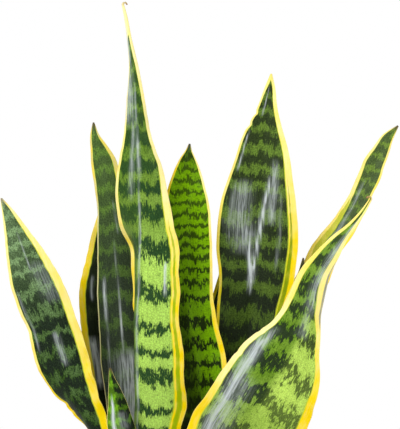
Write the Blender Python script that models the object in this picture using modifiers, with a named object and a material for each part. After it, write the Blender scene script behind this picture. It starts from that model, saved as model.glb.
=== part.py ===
"""Potted snake plant: eleven stiff sword leaves in a plain clay pot.

The plant stands on the pot's foot at z = 0 and its front faces -Y.
Each leaf, the soil, the rhizomes and the pot are separate closed bodies.
"""

import bmesh
import bpy
import numpy as np

MM = 0.001

# Pot
POT_HEIGHT = 0.150
POT_FOOT_RADIUS = 0.0575
POT_BODY_RADIUS = 0.081
POT_WALL = 0.007
POT_FLOOR = 0.009
COLLAR_HEIGHT = 0.028
COLLAR_PROUD = 0.004
COLLAR_STEP = 0.003
LIP_ROUND = 0.0025
FOOT_ROUND = 0.003
DRAIN_RADIUS = 0.010
TURN_STEPS = 56

# Soil and rhizomes
CLEARANCE = 0.0003
SOIL_BELOW_LIP = 0.018
SOIL_EDGE_ROUND = 0.002
RHIZOME_RADIUS = 0.007
RHIZOME_END = 0.004
SOCKET_RISE = 0.012
SOCKET_DEEPER = 0.003

# Leaves
LEAF_GROWTH = 1.0
LEAF_BASE_THICKNESS = 0.0072
LEAF_TIP_SHARE = 0.17
LEAF_EDGE_SHARE = 0.42
THINNING_POWER = 2.2
CREASE_SHARP = 0.2
CREASE_ROUND = 1.6
CREASE_POWER = 6.0
LEAST_HALF_WIDTH = 0.0006
ROW_SPACING = 0.0125
CELLS_ACROSS = 6

# Sizes that follow from the ones above
SOIL_TOP = POT_HEIGHT - SOIL_BELOW_LIP
SOIL_BOTTOM = POT_FLOOR + CLEARANCE
COLLAR_BOTTOM = POT_HEIGHT - COLLAR_HEIGHT
FLARE = (POT_BODY_RADIUS - POT_FOOT_RADIUS) / POT_HEIGHT

# Each leaf: its root on the soil as a share of the soil's radius, then rows from root to tip of
# x and y from the root, height above the soil, half width (all in mm at LEAF_GROWTH 1),
# turn about the vertical and fold of the two halves (degrees).
LEAVES = {
    "leaf_far_left": ((-0.74, 0.00), (
        (0, 0, -24, 10, -60, -50),
        (-4, 0, 25, 11, -58, -45),
        (-21.6, 1, 88, 13.6, -45, -35),
        (-33.2, -2, 110, 17.2, -28, -28),
        (-41.7, -4, 128, 19.9, -15, -22),
        (-46.7, -5, 145, 20.4, -10, -20),
        (-51.2, -5, 162, 18.9, -8, -18),
        (-57.2, -6, 178, 19.4, -6, -18),
        (-63.7, -7, 195, 18.2, -5, -17),
        (-69.8, -7, 212, 14, -5, -15),
        (-76, -7, 229, 8.6, 0, -12),
        (-82.5, -8, 245, 3.4, 0, -8),
        (-86, -8, 252.5, 0.6, 0, 0),
    )),
    "leaf_behind_left": ((-0.62, 0.44), (
        (0, 0, -24, 11, 40, 40),
        (-6, 7, 30, 13, 35, 34),
        (-17, 16, 87, 16, 20, 28),
        (-21, 17, 130, 18, 8, 22),
        (-24.5, 19, 166, 19, 2, 18),
        (-25.5, 20, 186, 18.4, 0, 16),
        (-25, 21, 211, 13.4, 0, 14),
        (-24.5, 22, 229, 9.6, 0, 12),
        (-25, 23, 245, 4, 0, 8),
        (-25.5, 23, 253, 0.6, 0, 0),
    )),
    "leaf_back_left": ((-0.37, 0.18), (
        (0, 0, -24, 11, -10, -40),
        (-4, 3, 25, 14, -10, -36),
        (-24, 14, 89, 17, -10, -28),
        (-26.5, 16, 131, 20.8, -10, -22),
        (-29.5, 17, 159, 18.8, -8, -20),
        (-31.5, 18, 187, 17.4, -6, -18),
        (-33.5, 18, 215, 15, -5, -18),
        (-37.5, 19, 246, 11, -5, -18),
        (-40, 19, 263, 10, -5, -16),
        (-43.5, 20, 280, 9.2, -5, -14),
        (-46, 20, 288, 6.6, 0, -12),
        (-49, 20, 297, 3.6, 0, -8),
        (-50, 21, 307, 0.6, 0, 0),
    )),
    "leaf_tall": ((-0.23, -0.21), (
        (0, 0, -24, 12, -5, -55),
        (-6, -2, 25, 18, -20, -58),
        (-25.5, -3, 91, 35, -44, -50),
        (-25.5, -3, 110, 37, -45, -49),
        (-26, -4, 135, 35.6, -44, -47),
        (-26.5, -4, 160, 33, -42, -45),
        (-26, -5, 175, 30.8, -40, -43),
        (-25.5, -5, 195, 30.4, -38, -42),
        (-25, -6, 216, 29.3, -35, -40),
        (-25, -7, 235, 24.5, -21, -31),
        (-25.5, -7, 251, 22, -10, -30),
        (-26, -8, 270, 18.3, -7, -27),
        (-27, -8, 295, 10.8, 0, -26),
        (-28.2, -9, 321, 6.9, 0, -25),
        (-29.5, -9, 344, 3.4, 0, -20),
        (-32.4, -9, 362, 1.8, 0, -15),
        (-35, -10, 378, 1.2, 0, -10),
        (-38, -10, 390, 0.6, 0, 0),
    )),
    "leaf_centre": ((0.04, 0.20), (
        (0, 0, -24, 12, 5, 55),
        (0, -4, 30, 15, 5, 40),
        (-4, -8, 90, 18.4, 3, 26),
        (-5.5, -10, 136, 22.6, 0, 20),
        (-7, -9, 145, 22, 0, 18),
        (-9.3, -9, 161, 20, 0, 17),
        (-10.8, -8, 178, 18.5, 0, 17),
        (-11.5, -8, 203, 18.2, 0, 17),
        (-11.8, -7, 229, 17.8, 0, 17),
        (-12.2, -7, 246, 16.6, 0, 16),
        (-12, -6, 263, 12.6, 0, 14),
        (-11.3, -6, 279.5, 6.2, 0, 10),
        (-10.6, -6, 287, 2, 0, 5),
        (-10.1, -6, 291, 0.6, 0, 0),
    )),
    "leaf_broad_right": ((0.30, 0.38), (
        (0, 0, -24, 12, 0, 55),
        (-1, 1, 30, 14, 0, 45),
        (2, 2, 90, 17.5, 0, 32),
        (6, -1, 110, 19.8, 0, 26),
        (12.5, -3, 152, 24.6, 0, 20),
        (16, -4, 178, 26.4, 0, 18),
        (18.5, -5, 195, 27.8, 0, 18),
        (19.2, -5, 220, 30.4, 0, 18),
        (20, -6, 246, 28.5, 0, 18),
        (22.5, -6, 271, 22.7, 0, 17),
        (24.3, -6, 297, 15.3, 0, 15),
        (26.3, -7, 314, 8.2, 0, 12),
        (28.5, -7, 332, 3.5, 0, 8),
        (29.3, -7, 341, 0.6, 0, 0),
    )),
    "leaf_front_right": ((0.11, -0.33), (
        (0, 0, -24, 13, 5, 50),
        (2, -5, 20, 18, 4, 38),
        (9, -19, 60, 31, 2, 20),
        (21, -31, 96, 38.2, 0, 15),
        (31.1, -37, 111.5, 36.8, -2, 15),
        (40.4, -41, 127, 34.6, -8, 18),
        (50.3, -44, 143, 31.2, -18, 22),
        (58.5, -46, 160, 23, -29, 25),
        (64.4, -48, 178, 17.4, -34, 30),
        (69.3, -49, 197, 13.2, -30, 26),
        (80.2, -50, 216.4, 8.7, -28, 24),
        (95.5, -51, 236, 2.8, -25, 20),
        (100, -52, 242, 2, -20, 15),
        (107.7, -52, 255, 0.6, 0, 0),
    )),
    "leaf_far_right": ((0.67, 0.35), (
        (0, 0, -24, 11, -25, 50),
        (1, 3, 30, 13, -25, 42),
        (7, 10, 108, 15, -25, 28),
        (20, 13, 165, 14, -22, 20),
        (36, 14, 198, 12.5, -20, 18),
        (42, 15, 212, 11.6, -20, 16),
        (55.5, 17, 231, 10.2, -20, 15),
        (66.5, 17, 250.5, 8.5, -18, 14),
        (70.5, 17, 259.5, 8.2, -15, 12),
        (74.5, 17, 268, 8.4, -15, 12),
        (77.6, 17, 277, 8, -12, 10),
        (82.3, 17, 286, 6.4, -10, 8),
        (87, 17, 295.5, 4.5, -5, 5),
        (95, 17, 305, 0.6, 0, 0),
    )),
    "leaf_young_left": ((-0.60, -0.37), (
        (0, 0, -24, 8, 10, -50),
        (-4, -6, 20, 9, 10, -48),
        (-9.5, -10, 91, 11.6, 10, -32),
        (-11.5, -10, 98, 10.6, 8, -30),
        (-13.5, -10, 110, 7.7, 6, -26),
        (-16, -10, 121.5, 4.6, 0, -22),
        (-17.8, -10, 129.5, 2.1, 0, -15),
        (-19, -10, 136.5, 0.6, 0, 0),
    )),
    "leaf_behind_centre": ((-0.18, 0.60), (
        (0, 0, -24, 11, 12, 50),
        (4, 3, 35, 14, 10, 40),
        (17, 4, 110, 18, 8, 28),
        (42, 8, 195, 17.5, 5, 20),
        (52, 9, 240, 13, 0, 15),
        (58, 10, 268, 5, 0, 10),
        (60.5, 10, 281, 0.6, 0, 0),
    )),
    "leaf_young_right": ((0.47, -0.09), (
        (0, 0, -24, 9, -10, 52),
        (3, -1, 30, 11, -10, 42),
        (11, 0, 90, 13, -10, 28),
        (26, -2, 145, 12, -8, 20),
        (33.5, -3, 181, 7.6, -5, 15),
        (37, -3, 199, 2.8, 0, 10),
        (38.6, -3, 211, 0.6, 0, 0),
    )),
}

# Each rhizome joins the roots of these leaves.
RHIZOMES = {
    "rhizome_left": ("leaf_young_left", "leaf_far_left", "leaf_behind_left"),
    "rhizome_front": ("leaf_back_left", "leaf_tall", "leaf_front_right", "leaf_young_right"),
    "rhizome_middle": ("leaf_behind_centre", "leaf_centre"),
    "rhizome_right": ("leaf_broad_right", "leaf_far_right"),
}

COLOURS = {
    "leaf": (0.055, 0.130, 0.030, 1.0),
    "pot": (0.420, 0.165, 0.085, 1.0),
    "soil": (0.030, 0.020, 0.014, 1.0),
    "rhizome": (0.480, 0.240, 0.075, 1.0),
}


def body_radius(z):
    """Outside radius of the pot's tapered body at height z, without the collar."""
    return POT_FOOT_RADIUS + FLARE * z


def inside_radius(z):
    """Inside radius of the pot's wall at height z."""
    return body_radius(z) - POT_WALL


def clear_scene():
    """Remove the objects of the start-up scene."""
    for obj in list(bpy.data.objects):
        bpy.data.objects.remove(obj, do_unlink=True)


def make_collection(name):
    """Add a collection to the scene."""
    collection = bpy.data.collections.new(name)
    bpy.context.scene.collection.children.link(collection)
    return collection


def make_material(name, kind, roughness):
    """Principled material in the colour of its kind."""
    material = bpy.data.materials.new(name)
    material.use_nodes = True
    shader = material.node_tree.nodes["Principled BSDF"]
    shader.inputs["Base Color"].default_value = COLOURS[kind]
    shader.inputs["Roughness"].default_value = roughness
    shader.inputs["Metallic"].default_value = 0.0
    return material


def add_object(name, data, collection, material=None):
    """Put mesh or curve data in the scene under one name."""
    obj = bpy.data.objects.new(name, data)
    collection.objects.link(obj)
    if material is not None:
        data.materials.append(material)
    return obj


def smooth(obj):
    """Shade a round piece smooth."""
    obj.data.polygons.foreach_set("use_smooth", [True] * len(obj.data.polygons))


def turned(name, profile, closed, collection, material):
    """Turn a profile of (radius, z) points about the vertical axis."""
    count = len(profile)
    edges = [(i, (i + 1) % count) for i in range(count if closed else count - 1)]
    mesh = bpy.data.meshes.new(name)
    mesh.from_pydata([(radius, 0.0, z) for radius, z in profile], edges, [])
    obj = add_object(name, mesh, collection, material)
    screw = obj.modifiers.new("Turn", "SCREW")
    screw.axis = "Z"
    screw.steps = TURN_STEPS
    screw.render_steps = TURN_STEPS
    screw.use_merge_vertices = True
    screw.merge_threshold = 0.0001
    screw.use_smooth_shade = True
    return obj


def make_pot(collection):
    """Clay pot: tapered wall, collar, rounded lip and foot, drain hole in the floor."""
    collar_foot = body_radius(COLLAR_BOTTOM) + COLLAR_PROUD
    lip_outside = body_radius(POT_HEIGHT) + COLLAR_PROUD
    lip_inside = inside_radius(POT_HEIGHT)
    profile = [
        (lip_outside - LIP_ROUND, POT_HEIGHT),
        (lip_outside - LIP_ROUND * 0.3, POT_HEIGHT - LIP_ROUND * 0.3),
        (lip_outside, POT_HEIGHT - LIP_ROUND),
        (collar_foot, COLLAR_BOTTOM + COLLAR_STEP),
        (body_radius(COLLAR_BOTTOM), COLLAR_BOTTOM),
        (body_radius(FOOT_ROUND), FOOT_ROUND),
        (POT_FOOT_RADIUS - FOOT_ROUND, 0.0),
        (DRAIN_RADIUS, 0.0),
        (DRAIN_RADIUS, POT_FLOOR),
        (inside_radius(POT_FLOOR), POT_FLOOR),
        (lip_inside, POT_HEIGHT - LIP_ROUND),
        (lip_inside + LIP_ROUND * 0.3, POT_HEIGHT - LIP_ROUND * 0.3),
        (lip_inside + LIP_ROUND, POT_HEIGHT),
    ]
    material = make_material("pot_clay", "pot", 0.85)
    return turned("pot", profile, True, collection, material)


def soil_radius(z):
    """Radius of the soil at height z, just clear of the pot."""
    return inside_radius(z) - CLEARANCE


def make_soil(collection):
    """Soil that fills the pot up to below the lip."""
    profile = [
        (0.0, SOIL_TOP),
        (soil_radius(SOIL_TOP) - SOIL_EDGE_ROUND, SOIL_TOP),
        (soil_radius(SOIL_TOP - SOIL_EDGE_ROUND), SOIL_TOP - SOIL_EDGE_ROUND),
        (soil_radius(SOIL_BOTTOM), SOIL_BOTTOM),
        (0.0, SOIL_BOTTOM),
    ]
    material = make_material("soil_earth", "soil", 0.95)
    return turned("potting_soil", profile, False, collection, material)


def through(knots, rows, at):
    """Smooth curve through rows of numbers, read at the given lengths."""
    slopes = np.gradient(rows, knots, axis=0)
    span = np.clip(np.searchsorted(knots, at, side="right") - 1, 0, len(knots) - 2)
    width = (knots[span + 1] - knots[span])[:, None]
    share = (at - knots[span])[:, None] / width
    rise = 3.0 * share**2 - 2.0 * share**3
    leave = (share**3 - 2.0 * share**2 + share) * width
    arrive = (share**3 - share**2) * width
    steps = rows[span] * (1.0 - rise) + rows[span + 1] * rise
    return steps + leave * slopes[span] + arrive * slopes[span + 1]


def unit(vectors):
    """Vectors of length one."""
    return vectors / np.linalg.norm(vectors, axis=-1, keepdims=True)


def root_place(name):
    """Root of a leaf on the soil."""
    share_x, share_y = LEAVES[name][0]
    radius = soil_radius(SOIL_TOP)
    return np.array([share_x * radius, share_y * radius, SOIL_TOP])


def leaf_grid(name, extra=0.0):
    """Points of a leaf's middle surface, rows by columns, and each point's thickness share.

    The half width grows by `extra`. A row's columns run across the leaf: the width direction
    times cos(fold) and the depth direction times sin(fold) on a rounded V.
    """
    rows = np.array(LEAVES[name][1], dtype=float)
    rows[:, :4] *= MM * LEAF_GROWTH
    rows[:, 4:] = np.radians(rows[:, 4:])
    knots = np.append(0.0, np.cumsum(np.linalg.norm(np.diff(rows[:, :3], axis=0), axis=1)))
    count = int(round(knots[-1] / ROW_SPACING)) + 1
    along = np.linspace(0.0, 1.0, count)
    rows = through(knots, rows, along * knots[-1])
    spine = rows[:, :3] + root_place(name)
    half = np.maximum(rows[:, 3], LEAST_HALF_WIDTH)[:, None] + extra
    turn = rows[:, 4]
    fold = rows[:, 5][:, None]
    forward = unit(np.gradient(spine, along, axis=0))
    width = np.stack([np.cos(turn), np.sin(turn), np.zeros(count)], axis=1)
    width = unit(width - np.sum(width * forward, axis=1, keepdims=True) * forward)
    depth = np.cross(width, forward)
    across = np.linspace(-1.0, 1.0, CELLS_ACROSS + 1)[None, :]
    crease = CREASE_SHARP + (CREASE_ROUND - CREASE_SHARP) * (1.0 - along[:, None]) ** CREASE_POWER
    sideways = half * np.cos(fold) * across
    inward = half * np.sin(fold) * (np.sqrt(across**2 + crease**2) - crease)
    points = spine[:, None] + sideways[..., None] * width[:, None]
    points = points + inward[..., None] * depth[:, None]
    thick = LEAF_TIP_SHARE + (1.0 - LEAF_TIP_SHARE) * (1.0 - along[:, None]) ** THINNING_POWER
    thick = thick * (1.0 - (1.0 - LEAF_EDGE_SHARE) * np.abs(across) ** 3)
    return points, thick


def leaf_sheet(name, points, thick, thickness, collection, material=None):
    """Leaf blade of varying thickness about its middle surface."""
    rows, columns = thick.shape
    sheet = bmesh.new()
    bmesh.ops.create_grid(sheet, x_segments=columns - 1, y_segments=rows - 1, size=1.0)
    sheet.verts.ensure_lookup_table()
    for vert, place in zip(sheet.verts, points.reshape(-1, 3)):
        vert.co = place
    mesh = bpy.data.meshes.new(name)
    sheet.to_mesh(mesh)
    sheet.free()
    obj = add_object(name, mesh, collection, material)
    smooth(obj)
    group = obj.vertex_groups.new(name="thickness")
    for index, share in enumerate(thick.reshape(-1)):
        group.add([index], float(share), "REPLACE")
    solidify = obj.modifiers.new("Thickness", "SOLIDIFY")
    solidify.thickness = thickness
    solidify.offset = 0.0
    solidify.vertex_group = group.name
    return obj


def make_leaf(name, collection):
    """One leaf from its root in the soil to its tip."""
    points, thick = leaf_grid(name)
    material = make_material(name + "_green", "leaf", 0.38)
    return leaf_sheet(name, points, thick, LEAF_BASE_THICKNESS, collection, material)


def leaf_socket(name, collection):
    """Cutter for a leaf's slot in the soil, from its root to just above the soil."""
    points, thick = leaf_grid(name, CLEARANCE)
    above = np.argmax(points[:, :, 2].min(axis=1) > SOIL_TOP + SOCKET_RISE) + 1
    points = points[:above]
    points[0] += (points[0] - points[1]) * SOCKET_DEEPER / ROW_SPACING
    thickness = LEAF_BASE_THICKNESS + 2.0 * CLEARANCE / LEAF_EDGE_SHARE
    return leaf_sheet(name + "_socket", points, thick[:above], thickness, collection)


def rhizome_path(names, extra):
    """Points under the roots, from before the first leaf to past the last."""
    points = [root_place(leaf) for leaf in names]
    for point, leaf in zip(points, names):
        point[2] += LEAVES[leaf][1][0][2] * MM * LEAF_GROWTH - RHIZOME_RADIUS - 2.0 * CLEARANCE
    first = points[0] + unit(points[0] - points[1]) * (RHIZOME_END + extra)
    last = points[-1] + unit(points[-1] - points[-2]) * (RHIZOME_END + extra)
    return [first] + points + [last]


def make_rhizome(name, leaf_names, extra, collection, material=None):
    """Creeping stem: a round tube through its points, larger all round by `extra`."""
    curve = bpy.data.curves.new(name + "_path", "CURVE")
    curve.dimensions = "3D"
    curve.bevel_depth = RHIZOME_RADIUS + extra
    curve.bevel_resolution = 2
    curve.resolution_u = 5
    curve.use_fill_caps = True
    spline = curve.splines.new("BEZIER")
    path = rhizome_path(leaf_names, extra)
    spline.bezier_points.add(len(path) - 1)
    for knot, place in zip(spline.bezier_points, path):
        knot.co = place
        knot.handle_left_type = "AUTO"
        knot.handle_right_type = "AUTO"
    tube = bpy.data.objects.new(name + "_path", curve)
    mesh = bpy.data.meshes.new_from_object(tube)
    bpy.data.objects.remove(tube)
    mesh.name = name
    closed = bmesh.new()
    closed.from_mesh(mesh)
    bmesh.ops.remove_doubles(closed, verts=closed.verts, dist=0.00005)
    bmesh.ops.recalc_face_normals(closed, faces=closed.faces)
    closed.to_mesh(mesh)
    closed.free()
    obj = add_object(name, mesh, collection, material)
    smooth(obj)
    return obj


def cut(obj, cutter):
    """Take the cutter's shape out of the object."""
    boolean = obj.modifiers.new("Cut " + cutter.name, "BOOLEAN")
    boolean.operation = "DIFFERENCE"
    boolean.solver = "EXACT"
    boolean.object = cutter


def main():
    clear_scene()
    plant = make_collection("potted_snake_plant")
    cutters = make_collection("cutters")
    make_pot(plant)
    soil = make_soil(plant)
    for name in LEAVES:
        make_leaf(name, plant)
        cut(soil, leaf_socket(name, cutters))
    for name, leaf_names in RHIZOMES.items():
        material = make_material(name + "_skin", "rhizome", 0.7)
        make_rhizome(name, leaf_names, 0.0, plant, material)
        socket = make_rhizome(name + "_socket", leaf_names, CLEARANCE, cutters)
        cut(soil, socket)
    for cutter in cutters.objects:
        cutter.hide_render = True
        cutter.display_type = "WIRE"


main()
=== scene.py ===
import bpy
import numpy as np
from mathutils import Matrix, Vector


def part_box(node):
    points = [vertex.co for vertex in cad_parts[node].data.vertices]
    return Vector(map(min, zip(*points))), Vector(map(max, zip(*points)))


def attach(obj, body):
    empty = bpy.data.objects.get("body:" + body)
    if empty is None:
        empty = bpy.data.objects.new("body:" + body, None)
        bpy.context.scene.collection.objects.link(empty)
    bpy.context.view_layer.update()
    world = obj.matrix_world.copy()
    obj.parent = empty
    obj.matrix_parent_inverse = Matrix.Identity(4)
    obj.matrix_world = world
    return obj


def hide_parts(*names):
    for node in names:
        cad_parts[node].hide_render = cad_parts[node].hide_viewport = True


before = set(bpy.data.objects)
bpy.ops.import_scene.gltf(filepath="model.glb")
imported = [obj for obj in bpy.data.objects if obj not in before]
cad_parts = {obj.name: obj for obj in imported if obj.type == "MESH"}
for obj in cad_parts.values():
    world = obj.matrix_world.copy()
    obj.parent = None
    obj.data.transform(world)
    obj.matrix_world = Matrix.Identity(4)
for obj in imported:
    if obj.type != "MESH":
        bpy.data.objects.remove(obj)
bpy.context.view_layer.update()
SOIL_LOW, SOIL_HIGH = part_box("potting_soil")
POT_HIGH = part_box("pot")[1]
SOIL_TOP = float(SOIL_HIGH[2])
MM = 0.001
print("soil surface at", round(SOIL_TOP * 1000), "mm")

# %% [markdown]
# ## The leaves as rows of stations
# A leaf is easy to describe the way a boat builder describes a hull: a few stations from
# root to tip, each with its place, its half width, how far it is turned about the vertical and
# how far its two halves are folded together. The same rows made the CAD leaves. Places are in
# millimetres from the root; a root is given as a share of the soil's radius.
# %% Leaf stations
SOIL_RADIUS = 0.07088
LEAVES = {
    "leaf_far_left": ((-0.74, 0.00), (
        (0, 0, -24, 10, -60, -50),
        (-4, 0, 25, 11, -58, -45),
        (-21.6, 1, 88, 13.6, -45, -35),
        (-33.2, -2, 110, 17.2, -28, -28),
        (-41.7, -4, 128, 19.9, -15, -22),
        (-46.7, -5, 145, 20.4, -10, -20),
        (-51.2, -5, 162, 18.9, -8, -18),
        (-57.2, -6, 178, 19.4, -6, -18),
        (-63.7, -7, 195, 18.2, -5, -17),
        (-69.8, -7, 212, 14, -5, -15),
        (-76, -7, 229, 8.6, 0, -12),
        (-82.5, -8, 245, 3.4, 0, -8),
        (-86, -8, 252.5, 0.6, 0, 0),
    )),
    "leaf_behind_left": ((-0.62, 0.44), (
        (0, 0, -24, 11, 40, 40),
        (-6, 7, 30, 13, 35, 34),
        (-17, 16, 87, 16, 20, 28),
        (-21, 17, 130, 18, 8, 22),
        (-24.5, 19, 166, 19, 2, 18),
        (-25.5, 20, 186, 18.4, 0, 16),
        (-25, 21, 211, 13.4, 0, 14),
        (-24.5, 22, 229, 9.6, 0, 12),
        (-25, 23, 245, 4, 0, 8),
        (-25.5, 23, 253, 0.6, 0, 0),
    )),
    "leaf_back_left": ((-0.37, 0.18), (
        (0, 0, -24, 11, -10, -40),
        (-4, 3, 25, 14, -10, -36),
        (-24, 14, 89, 17, -10, -28),
        (-26.5, 16, 131, 20.8, -10, -22),
        (-29.5, 17, 159, 18.8, -8, -20),
        (-31.5, 18, 187, 17.4, -6, -18),
        (-33.5, 18, 215, 15, -5, -18),
        (-37.5, 19, 246, 11, -5, -18),
        (-40, 19, 263, 10, -5, -16),
        (-43.5, 20, 280, 9.2, -5, -14),
        (-46, 20, 288, 6.6, 0, -12),
        (-49, 20, 297, 3.6, 0, -8),
        (-50, 21, 307, 0.6, 0, 0),
    )),
    "leaf_tall": ((-0.23, -0.21), (
        (0, 0, -24, 12, -5, -55),
        (-6, -2, 25, 18, -20, -58),
        (-25.5, -3, 91, 35, -44, -50),
        (-25.5, -3, 110, 37, -45, -49),
        (-26, -4, 135, 35.6, -44, -47),
        (-26.5, -4, 160, 33, -42, -45),
        (-26, -5, 175, 30.8, -40, -43),
        (-25.5, -5, 195, 30.4, -38, -42),
        (-25, -6, 216, 29.3, -35, -40),
        (-25, -7, 235, 24.5, -21, -31),
        (-25.5, -7, 251, 22, -10, -30),
        (-26, -8, 270, 18.3, -7, -27),
        (-27, -8, 295, 10.8, 0, -26),
        (-28.2, -9, 321, 6.9, 0, -25),
        (-29.5, -9, 344, 3.4, 0, -20),
        (-32.4, -9, 362, 1.8, 0, -15),
        (-35, -10, 378, 1.2, 0, -10),
        (-38, -10, 390, 0.6, 0, 0),
    )),
    "leaf_centre": ((0.04, 0.20), (
        (0, 0, -24, 12, 5, 55),
        (0, -4, 30, 15, 5, 40),
        (-4, -8, 90, 18.4, 3, 26),
        (-5.5, -10, 136, 22.6, 0, 20),
        (-7, -9, 145, 22, 0, 18),
        (-9.3, -9, 161, 20, 0, 17),
        (-10.8, -8, 178, 18.5, 0, 17),
        (-11.5, -8, 203, 18.2, 0, 17),
        (-11.8, -7, 229, 17.8, 0, 17),
        (-12.2, -7, 246, 16.6, 0, 16),
        (-12, -6, 263, 12.6, 0, 14),
        (-11.3, -6, 279.5, 6.2, 0, 10),
        (-10.6, -6, 287, 2, 0, 5),
        (-10.1, -6, 291, 0.6, 0, 0),
    )),
    "leaf_broad_right": ((0.30, 0.38), (
        (0, 0, -24, 12, 0, 55),
        (-1, 1, 30, 14, 0, 45),
        (2, 2, 90, 17.5, 0, 32),
        (6, -1, 110, 19.8, 0, 26),
        (12.5, -3, 152, 24.6, 0, 20),
        (16, -4, 178, 26.4, 0, 18),
        (18.5, -5, 195, 27.8, 0, 18),
        (19.2, -5, 220, 30.4, 0, 18),
        (20, -6, 246, 28.5, 0, 18),
        (22.5, -6, 271, 22.7, 0, 17),
        (24.3, -6, 297, 15.3, 0, 15),
        (26.3, -7, 314, 8.2, 0, 12),
        (28.5, -7, 332, 3.5, 0, 8),
        (29.3, -7, 341, 0.6, 0, 0),
    )),
    "leaf_front_right": ((0.11, -0.33), (
        (0, 0, -24, 13, 5, 50),
        (2, -5, 20, 18, 4, 38),
        (9, -19, 60, 31, 2, 20),
        (21, -31, 96, 38.2, 0, 15),
        (31.1, -37, 111.5, 36.8, -2, 15),
        (40.4, -41, 127, 34.6, -8, 18),
        (50.3, -44, 143, 31.2, -18, 22),
        (58.5, -46, 160, 23, -29, 25),
        (64.4, -48, 178, 17.4, -34, 30),
        (69.3, -49, 197, 13.2, -30, 26),
        (80.2, -50, 216.4, 8.7, -28, 24),
        (95.5, -51, 236, 2.8, -25, 20),
        (100, -52, 242, 2, -20, 15),
        (107.7, -52, 255, 0.6, 0, 0),
    )),
    "leaf_far_right": ((0.67, 0.35), (
        (0, 0, -24, 11, -25, 50),
        (1, 3, 30, 13, -25, 42),
        (7, 10, 108, 15, -25, 28),
        (20, 13, 165, 14, -22, 20),
        (36, 14, 198, 12.5, -20, 18),
        (42, 15, 212, 11.6, -20, 16),
        (55.5, 17, 231, 10.2, -20, 15),
        (66.5, 17, 250.5, 8.5, -18, 14),
        (70.5, 17, 259.5, 8.2, -15, 12),
        (74.5, 17, 268, 8.4, -15, 12),
        (77.6, 17, 277, 8, -12, 10),
        (82.3, 17, 286, 6.4, -10, 8),
        (87, 17, 295.5, 4.5, -5, 5),
        (95, 17, 305, 0.6, 0, 0),
    )),
    "leaf_young_left": ((-0.60, -0.37), (
        (0, 0, -24, 8, 10, -50),
        (-4, -6, 20, 9, 10, -48),
        (-9.5, -10, 91, 11.6, 10, -32),
        (-11.5, -10, 98, 10.6, 8, -30),
        (-13.5, -10, 110, 7.7, 6, -26),
        (-16, -10, 121.5, 4.6, 0, -22),
        (-17.8, -10, 129.5, 2.1, 0, -15),
        (-19, -10, 136.5, 0.6, 0, 0),
    )),
    "leaf_behind_centre": ((-0.18, 0.60), (
        (0, 0, -24, 11, 12, 50),
        (4, 3, 35, 14, 10, 40),
        (17, 4, 110, 18, 8, 28),
        (42, 8, 195, 17.5, 5, 20),
        (52, 9, 240, 13, 0, 15),
        (58, 10, 268, 5, 0, 10),
        (60.5, 10, 281, 0.6, 0, 0),
    )),
    "leaf_young_right": ((0.47, -0.09), (
        (0, 0, -24, 9, -10, 52),
        (3, -1, 30, 11, -10, 42),
        (11, 0, 90, 13, -10, 28),
        (26, -2, 145, 12, -8, 20),
        (33.5, -3, 181, 7.6, -5, 15),
        (37, -3, 199, 2.8, 0, 10),
        (38.6, -3, 211, 0.6, 0, 0),
    )),
}
TALLEST = max(LEAVES, key=lambda name: LEAVES[name][1][-1][2])
print(TALLEST, "is the tallest, its tip", LEAVES[TALLEST][1][-1][2], "mm above the soil")

# %% [markdown]
# ## Reading a smooth leaf off the stations
# Between stations the numbers must flow, or the outline shows a corner at every station.
# A cubic curve through the rows, with the slope at each row taken from its neighbours, is
# smooth and never strays far from the chosen numbers.
# %% Smooth curve through the stations
ROW_STEP = 0.0014
COLUMNS = 96
CREASE_SHARP, CREASE_ROUND, CREASE_POWER = 0.2, 1.6, 6.0
BASE_THICKNESS, TIP_SHARE, THINNING = 0.0072, 0.17, 2.2


def through(knots, rows, at):
    """Cubic curve through rows: each span blends its ends and their slopes by s^2 and s^3."""
    slopes = np.gradient(rows, knots, axis=0)
    span = np.clip(np.searchsorted(knots, at, side="right") - 1, 0, len(knots) - 2)
    width = (knots[span + 1] - knots[span])[:, None]
    share = (at - knots[span])[:, None] / width
    rise = 3.0 * share**2 - 2.0 * share**3
    leave = (share**3 - 2.0 * share**2 + share) * width
    arrive = (share**3 - share**2) * width
    steps = rows[span] * (1.0 - rise) + rows[span + 1] * rise
    return steps + leave * slopes[span] + arrive * slopes[span + 1]


def unit(vectors):
    """Vectors divided by their length."""
    return vectors / np.linalg.norm(vectors, axis=-1, keepdims=True)


def ripple(x, y, seed, waves=6, finest=4.0):
    """Soft noise: the mean of sine waves of random direction, length and phase."""
    rng = np.random.default_rng(seed)
    total = 0.0
    for _ in range(waves):
        angle, phase = rng.uniform(0.0, 2.0 * np.pi, 2)
        rate = 2.0 * np.pi * rng.uniform(1.0, finest)
        total = total + np.sin(rate * (x * np.cos(angle) + y * np.sin(angle)) + phase)
    return total / waves


print("leaves:", len(LEAVES), "with", sum(len(rows) for _, rows in LEAVES.values()), "stations")

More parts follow.
